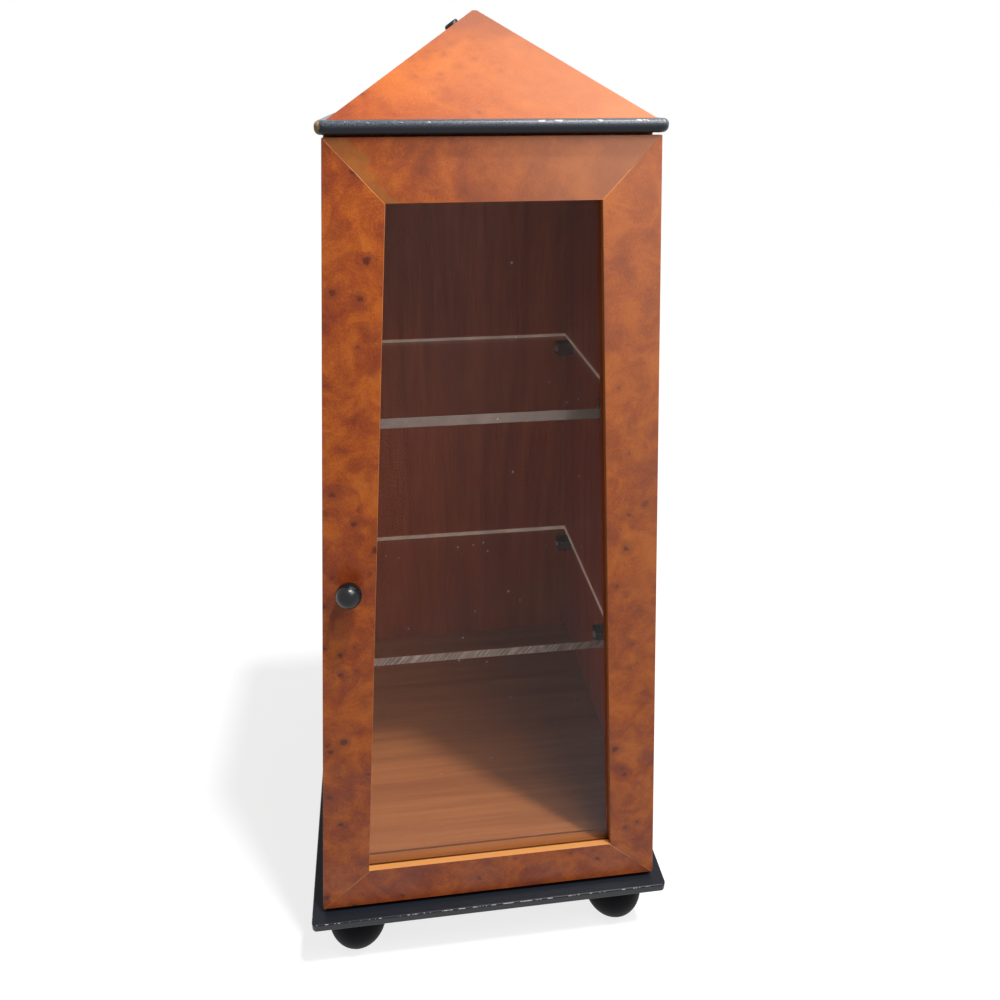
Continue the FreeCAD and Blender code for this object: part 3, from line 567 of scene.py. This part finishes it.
def side_wall(name, seed, inward):
    """Burl outside, stain inside; inward is the X direction that the inner face looks."""
    material, tree, shader = new_material(name)
    vector = object_place(tree)
    figure = place(tree, burl_figure, {"Vector": vector, "Seed": seed})
    inside, pores = stain(tree, vector, UPRIGHT_GRAIN, STAIN_DARK, STAIN_LIGHT)
    facing = split(tree, object_normal(tree))[0]
    share = span(tree, maths(tree, "MULTIPLY", facing, inward), *FACING_SPAN)
    set_inputs(tree, shader, {
        "Base Color": mix(tree, share, figure["Color"], inside),
        "Roughness": span(tree, pores, 0.0, 1.0, 0.4, 0.55), "Specular IOR Level": 0.25,
        "Normal": bump(tree, figure["Height"], *STAIN_BUMP),
    })
    return material


dress("left_side", side_wall("left_wall", 21.4, 1.0))
dress("right_side", side_wall("right_wall", 25.2, -1.0))
stained_upright = stained_wood("stained_upright", UPRIGHT_GRAIN)
stained_across = stained_wood("stained_across", CROSS_GRAIN)
stained_floor = stained_wood("stained_floor", CROSS_GRAIN, FLOOR_DARK, FLOOR_LIGHT)
for board in ("back_panel", "door_bead_left", "door_bead_right"):
    dress(board, stained_upright)
for board in ("top_panel", "floor_bearer_left", "floor_bearer_right", "floor_bearer_front", "door_bead_top"):
    dress(board, stained_across)
for board in ("floor_panel", "door_bead_bottom"):
    dress(board, stained_floor)
print("stained the inside")

# %% [markdown]
# ## Black lacquer
# The base board, the feet, the cornice and the knob are black. Sprayed lacquer is never mirror-flat: a
# very fine bump breaks up its reflections. Along the boards' rounded edges it has chipped down to pale
# primer. The upper half of the cornice's edge is painted grey in fine specks, a painted sheen where its
# rounded top catches the light, and one corner of it is down to bare wood.

# %% Black lacquer
BOARD_BLACK = rgb(0.009, 0.011, 0.0165)
TURNED_BLACK = rgb(0.006, 0.0065, 0.008)
# Grey of the painted sheen on the cornice's upper edge.
CORNICE_SHEEN_PAINT = rgb(0.125, 0.137, 0.165)
PRIMER = rgb(0.55, 0.52, 0.47)
BARE = rgb(0.50, 0.33, 0.18)
GRIT_SCALE = 1500.0
GRIT_SPAN = (0.22, 0.8)
GRIT_BUMP = (0.55, 0.12 * MM)
WORN_ROUGHNESS = 0.75
BARE_RAGGED_SCALE, BARE_RAGGED_REACH = 320.0, 3 * MM
BARE_ALONG = (5.2 * MM, 4.2 * MM)
BARE_INWARD = (12 * MM, 9 * MM)
cornice_low, cornice_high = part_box("cornice_board")
CORNICE_SHEEN_HEIGHTS = tuple(cornice_low.z * (1 - share) + cornice_high.z * share for share in (0.4, 0.8))


def bare_corner(tree, vector):
    """Mask of the cornice's front left corner, which is rubbed down to bare wood."""
    away = split(tree, vector_maths(tree, "SUBTRACT", vector, cornice_low))
    ragged = maths(tree, "MULTIPLY", noise(tree, vector, BARE_RAGGED_SCALE), BARE_RAGGED_REACH)
    along = span(tree, maths(tree, "ADD", away[0], ragged), *BARE_ALONG)
    inward = span(tree, maths(tree, "ADD", away[1], ragged), *BARE_INWARD)
    return maths(tree, "MULTIPLY", along, inward)


def black_lacquer(name, black, wear_start, roughness, gloss, cornice=False):
    """Black lacquer; the cornice also gets a painted grey sheen along its upper edge, and is bare at one
    corner.
    """
    material, tree, shader = new_material(name)
    vector = object_place(tree)
    grit = noise(tree, vector, GRIT_SCALE, 2.0)
    worn = place(tree, edge_wear, {"Vector": vector, "Normal": object_normal(tree), "Start": wear_start})
    color = black
    dulled = worn["Wear"]
    if cornice:
        # Painted sheen: the upper part of the cornice's edge is speckled grey where light catches its
        # rounded top.
        upper = span(tree, split(tree, vector)[2], *CORNICE_SHEEN_HEIGHTS)
        color = mix(tree, maths(tree, "MULTIPLY", upper, span(tree, grit, *GRIT_SPAN)), color, CORNICE_SHEEN_PAINT)
    color = mix(tree, worn["Wear"], color, PRIMER)
    if cornice:
        bare = bare_corner(tree, vector)
        color = mix(tree, bare, color, BARE)
        dulled = maths(tree, "MAXIMUM", dulled, bare)
    set_inputs(tree, shader, {
        "Base Color": color, "Roughness": span(tree, dulled, 0.0, 1.0, roughness, WORN_ROUGHNESS),
        "Specular IOR Level": gloss,
        "Normal": bump(tree, maths(tree, "SUBTRACT", grit, dulled), *GRIT_BUMP),
    })
    return material


dress("cornice_board", black_lacquer("black_cornice", BOARD_BLACK, 0.57, 0.3, 0.25, cornice=True))
dress("base_board", black_lacquer("black_base", BOARD_BLACK, 0.54, 0.36, 0.22))
plain_black = black_lacquer("black_turned", TURNED_BLACK, NO_WEAR, 0.55, 0.07)
for foot in ("foot_front_left", "foot_front_right", "foot_rear_left", "foot_rear_right"):
    dress(foot, plain_black)
dress("door_knob", black_lacquer("black_knob", TURNED_BLACK, NO_WEAR, 0.22, 0.32))
dress("roof_button", black_lacquer("black_button", TURNED_BLACK, NO_WEAR, 0.2, 0.36))
print("lacquered the boards, feet, knob and button")

# %% [markdown]
# ## Clear sheets
# Glass is a shader that lets light through and bends it. Light rays that test for shadow stop at such a
# surface, which would leave the cabinet dark inside, so for those rays the material turns fully
# transparent. It does the same for rays that have bounced off wood, because a bent ray that finds a lamp
# by luck leaves a bright dot.

# %% Clear glass
GLASS_TINT = rgb(0.90, 0.93, 0.92)
SHELF_TINT = rgb(0.93, 0.96, 0.95)
FACE_TINT = rgb(0.97, 0.98, 0.98)
SPECK_ROUGHNESS = 0.6


def let_light_through(tree, shader):
    """Sends shadow rays and bounced rays straight through a clear material."""
    output = [found for found in tree.nodes if found.type == "OUTPUT_MATERIAL"][0]
    path = add(tree, "LightPath").outputs
    clear = add(tree, "BsdfTransparent", {"Color": FACE_TINT})
    straight = maths(tree, "MAXIMUM", path["Is Shadow Ray"], path["Is Diffuse Ray"])
    choose = add(tree, "MixShader", {0: straight, 1: shader.outputs[0], 2: clear.outputs[0]})
    tree.links.new(choose.outputs[0], output.inputs["Surface"])


def clear_sheet(name, tint, refraction, speck_scale, kept):
    material, tree, shader = new_material(name)
    specks = place(tree, dust, {"Vector": object_place(tree), "Speck Scale": speck_scale, "Kept": kept})
    set_inputs(tree, shader, {
        "Base Color": tint, "Roughness": maths(tree, "MULTIPLY", specks["Specks"], SPECK_ROUGHNESS),
        "IOR": refraction, "Transmission Weight": 1.0,
    })
    let_light_through(tree, shader)
    return material


dress("door_glass", clear_sheet("pane_glass", GLASS_TINT, 1.2, 150.0, 0.96))
shelf_face = clear_sheet("shelf_face", SHELF_TINT, 1.3, 120.0, 0.97)
print("clear", shelf_face.name, "and pane")

# %% [markdown]
# ## Shelves with sawn edges
# The two shelves are thick sheets: their broad faces are clear, and their edges, left as the saw cut
# them, are dull and pale. Light led through a sheet leaves at its edges, so these glow a little. The
# packed shelf is one solid with one finish, so each shelf is rebuilt here at the same size, with its
# edges as faces of their own.

# %% Shelves
SAWN_DARK = rgb(0.10, 0.060, 0.045)
SAWN_PALE = rgb(0.60, 0.42, 0.35)
SAWN_DULL = rgb(0.30, 0.205, 0.175)
EDGE_GLOW = rgb(1.0, 0.74, 0.58)
SHELF_BEVEL = 0.35 * MM
BEVEL_SEGMENTS = 2
ROUND_PROFILE = 0.5
LYING_FLAT = 0.9
FACING_FRONT = 0.5
SAW_SLANT = math.radians(38)
SAW_LENGTH = 20.0
SAW_SCALE = 700.0
SAW_SPAN = (0.42, 0.62)
SAW_BUMP = (0.4, 0.2 * MM)
CLOUDY_SCALE = 60.0
FACE, FRONT_EDGE, OTHER_EDGE = range(3)


def sawn_edge(name, pale, scored, glow):
    """Dull edge of a sawn sheet; the more it is scored, the plainer its slanted saw marks."""
    material, tree, shader = new_material(name)
    vector = object_place(tree)
    slant = add(tree, "Mapping", {
        "Vector": vector, "Rotation": (0, SAW_SLANT, 0), "Scale": (1.0, SAW_LENGTH, SAW_LENGTH),
    }, vector_type="TEXTURE").outputs[0]
    marks = span(tree, noise(tree, slant, SAW_SCALE, 3.0, 0.7), *SAW_SPAN, 1.0 - scored, 1.0)
    cloudy = span(tree, noise(tree, vector, CLOUDY_SCALE), *NOISE_RANGE, 0.7, 1.0)
    shade = maths(tree, "MULTIPLY", marks, cloudy)
    set_inputs(tree, shader, {
        "Base Color": mix(tree, shade, SAWN_DARK, pale), "Roughness": span(tree, marks, 0.0, 1.0, 0.65, 0.4),
        "Normal": bump(tree, marks, *SAW_BUMP), "Emission Color": mix(tree, shade, SAWN_DARK, EDGE_GLOW),
        "Emission Strength": glow,
    })
    return material


def shelf(node, face, front_edge, other_edges):
    """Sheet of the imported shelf's size, with clear faces and sawn edges."""
    low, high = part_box(node)
    made = bmesh.new()
    bmesh.ops.create_cube(made, size=1.0)
    bmesh.ops.scale(made, vec=high - low, verts=made.verts)
    bmesh.ops.translate(made, vec=(low + high) / 2, verts=made.verts)
    bmesh.ops.bevel(made, geom=made.edges[:], offset=SHELF_BEVEL, segments=BEVEL_SEGMENTS, affect="EDGES",
                    profile=ROUND_PROFILE)
    for side in made.faces:
        if abs(side.normal.z) > LYING_FLAT:
            side.material_index = FACE
        else:
            side.material_index = FRONT_EDGE if -side.normal.y > FACING_FRONT else OTHER_EDGE
    mesh = bpy.data.meshes.new(node + "_sheet")
    made.to_mesh(mesh)
    made.free()
    for finish in (face, front_edge, other_edges):
        mesh.materials.append(finish)
    sheet = bpy.data.objects.new(node + "_sheet", mesh)
    bpy.context.scene.collection.objects.link(sheet)
    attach(sheet, "case")
    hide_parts(node)
    return sheet


far_edges = sawn_edge("shelf_edge_far", SAWN_PALE, 0.3, 0.22)
plain_edge = sawn_edge("shelf_edge_plain", SAWN_DULL, 0.2, 0.025)
scored_edge = sawn_edge("shelf_edge_scored", SAWN_PALE, 0.8, 0.03)
upper_sheet = shelf("upper_shelf", shelf_face, plain_edge, far_edges)
lower_sheet = shelf("lower_shelf", shelf_face, scored_edge, far_edges)
print("shelves", [len(sheet.data.polygons) for sheet in (upper_sheet, lower_sheet)], "faces")

# %% [markdown]
# ## Hardware
# The hinges are brass, the screws and the strike plate steel, and the small shelf supports and the catch
# are black moulded plastic. Metals take their look from what they mirror, so their materials are mostly a
# colour and a brushed roughness. The dowels and the block inside the roof are bare wood, with the same
# grain as the stained boards.

# %% Metal, plastic and bare wood
BRASS = rgb(0.72, 0.50, 0.20)
STEEL = rgb(0.56, 0.55, 0.53)
TARNISH_SCALE = 160.0
TARNISH_SPAN = (0.4, 0.75)
TARNISH_DARKER = 0.55
PLASTIC_DARK = rgb(0.014, 0.014, 0.014)
PLASTIC_LIGHT = rgb(0.03, 0.03, 0.03)
PEBBLE_SCALE = 900.0
PEBBLE_BUMP = (0.3, 0.1 * MM)
BARE_DARK = rgb(0.42, 0.27, 0.14)
BARE_LIGHT = rgb(0.60, 0.42, 0.24)


def metal(name, color, rough_low, rough_high):
    material, tree, shader = new_material(name)
    tarnish = noise(tree, object_place(tree), TARNISH_SCALE, 4.0, 0.6)
    darker = rgb(*(part * TARNISH_DARKER for part in color[:3]))
    set_inputs(tree, shader, {
        "Base Color": mix(tree, span(tree, tarnish, *TARNISH_SPAN), color, darker), "Metallic": 1.0,
        "Roughness": span(tree, tarnish, *NOISE_RANGE, rough_low, rough_high),
    })
    return material


def moulded_black(name):
    material, tree, shader = new_material(name)
    pebble = noise(tree, object_place(tree), PEBBLE_SCALE, 2.0)
    set_inputs(tree, shader, {
        "Base Color": mix(tree, span(tree, pebble, *NOISE_RANGE), PLASTIC_DARK, PLASTIC_LIGHT),
        "Roughness": span(tree, pebble, *NOISE_RANGE, 0.4, 0.55), "Normal": bump(tree, pebble, *PEBBLE_BUMP),
    })
    return material


brass = metal("hinge_brass", BRASS, 0.22, 0.45)
steel = metal("screw_steel", STEEL, 0.25, 0.45)
black_plastic = moulded_black("moulded_black")
bare_wood = stained_wood("bare_wood", UPRIGHT_GRAIN, BARE_DARK, BARE_LIGHT)
for end in ("lower", "upper"):
    for piece in ("case_leaf", "door_leaf", "pin"):
        dress(end + "_hinge_" + piece, brass)
    dress(end + "_shelf_supports", black_plastic)
for piece in ("base_screws", "top_screws", "knob_screw", "case_hinge_screws", "door_hinge_screws",
              "catch_screws", "strike_screws", "shelf_support_screws", "strike_plate"):
    dress(piece, steel)
dress("door_catch", black_plastic)
for piece in ("foot_dowels", "roof_block"):
    dress(piece, bare_wood)
print("hardware dressed")

# %% [markdown]
# ## Soft edges
# No real board has a perfectly sharp edge, and a rounded edge catches a line of light that tells the eye
# how big the thing is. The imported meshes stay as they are: a weld joins their split corners, and a small
# bevel rounds every edge sharper than 30 degrees, both as modifiers.

# %% Bevels
BEVEL_ANGLE = math.radians(30)
WELD_REACH = 0.01 * MM
BEVEL_WIDTHS = {
    tuple(DOOR_BOARDS): 0.45 * MM,
    ("left_side", "right_side", "back_panel"): 0.4 * MM,
    ROOF_BOARDS: 0.35 * MM,
}


def soften(node, width):
    piece = nodes[node]
    weld = piece.modifiers.new("weld", "WELD")
    weld.merge_threshold = WELD_REACH
    round_off = piece.modifiers.new("round_off", "BEVEL")
    round_off.width = width
    round_off.segments = BEVEL_SEGMENTS
    round_off.limit_method = "ANGLE"
    round_off.angle_limit = BEVEL_ANGLE
    round_off.harden_normals = True


for boards, width in BEVEL_WIDTHS.items():
    for board in boards:
        soften(board, width)
print("softened", sum(len(boards) for boards in BEVEL_WIDTHS), "boards")

# %% [markdown]
# ## Floor and light
# The cabinet stands on a pale floor with nothing else in view. Light comes mostly from above: it strikes
# the roof nearly square on and the door at a glancing angle, so the roof looks brightest. A wide lamp at
# the upper right adds the knob's highlight and its soft shadow. The floor and the sky look white to the
# camera, and to mirrors and glass, by asking what kind of ray sees them, so that the lamps can stay at a
# plain level.

# %% Stage
WHITE = rgb(1, 1, 1)
FLOOR_SIZE = 8.0
FLOOR_SEEN = rgb(0.29, 0.29, 0.29)
FLOOR_BOUNCE = rgb(0.18, 0.18, 0.18)
FLOOR_GLOW = 0.79
SUN_TRAVEL = Vector((-0.25, 0.19, -1.0))
SUN_STRENGTH = 2.2
SUN_SPREAD = math.radians(4)
SKY_STRENGTH = 0.2
LAMP_PLACE = (0.28, -0.33, 1.02)
LAMP_TARGET = (0.02, -0.1, 0.6)
LAMP_SIZE = 0.42
LAMP_POWER = 5.5


def seen_directly(tree):
    """1 for rays from the camera, a mirror or through glass."""
    path = add(tree, "LightPath").outputs
    either = maths(tree, "MAXIMUM", path["Is Camera Ray"], path["Is Glossy Ray"])
    return maths(tree, "MAXIMUM", either, path["Is Transmission Ray"])


def lay_floor():
    made = bmesh.new()
    bmesh.ops.create_grid(made, x_segments=1, y_segments=1, size=FLOOR_SIZE / 2)
    mesh = bpy.data.meshes.new("floor")
    made.to_mesh(mesh)
    made.free()
    material, tree, shader = new_material("pale_floor")
    seen = seen_directly(tree)
    set_inputs(tree, shader, {
        "Base Color": mix(tree, seen, FLOOR_BOUNCE, FLOOR_SEEN), "Roughness": 0.9, "Specular IOR Level": 0.0,
        "Emission Color": WHITE, "Emission Strength": maths(tree, "MULTIPLY", seen, FLOOR_GLOW),
    })
    mesh.materials.append(material)
    floor = bpy.data.objects.new("floor", mesh)
    bpy.context.scene.collection.objects.link(floor)


def light_sky():
    world = bpy.data.worlds.new("soft_sky")
    world.use_nodes = True
    tree = world.node_tree
    tree.nodes.clear()
    strength = maths(tree, "MAXIMUM", seen_directly(tree), SKY_STRENGTH)
    sky = add(tree, "Background", {"Color": WHITE, "Strength": strength})
    output = tree.nodes.new("ShaderNodeOutputWorld")
    tree.links.new(sky.outputs[0], output.inputs["Surface"])
    bpy.context.scene.world = world


def hang(lamp, place_at, towards):
    """Puts a lamp into the scene and turns it towards a point."""
    holder = bpy.data.objects.new(lamp.name, lamp)
    holder.location = place_at
    holder.rotation_euler = (Vector(towards) - Vector(place_at)).to_track_quat("-Z", "Y").to_euler()
    bpy.context.scene.collection.objects.link(holder)


lay_floor()
light_sky()
sun = bpy.data.lights.new("high_sun", "SUN")
sun.energy = SUN_STRENGTH
sun.angle = SUN_SPREAD
hang(sun, -SUN_TRAVEL, (0, 0, 0))
lamp = bpy.data.lights.new("upper_right_lamp", "AREA")
lamp.size = LAMP_SIZE
lamp.energy = LAMP_POWER
hang(lamp, LAMP_PLACE, LAMP_TARGET)
scene = bpy.context.scene
scene.view_settings.view_transform = "Standard"
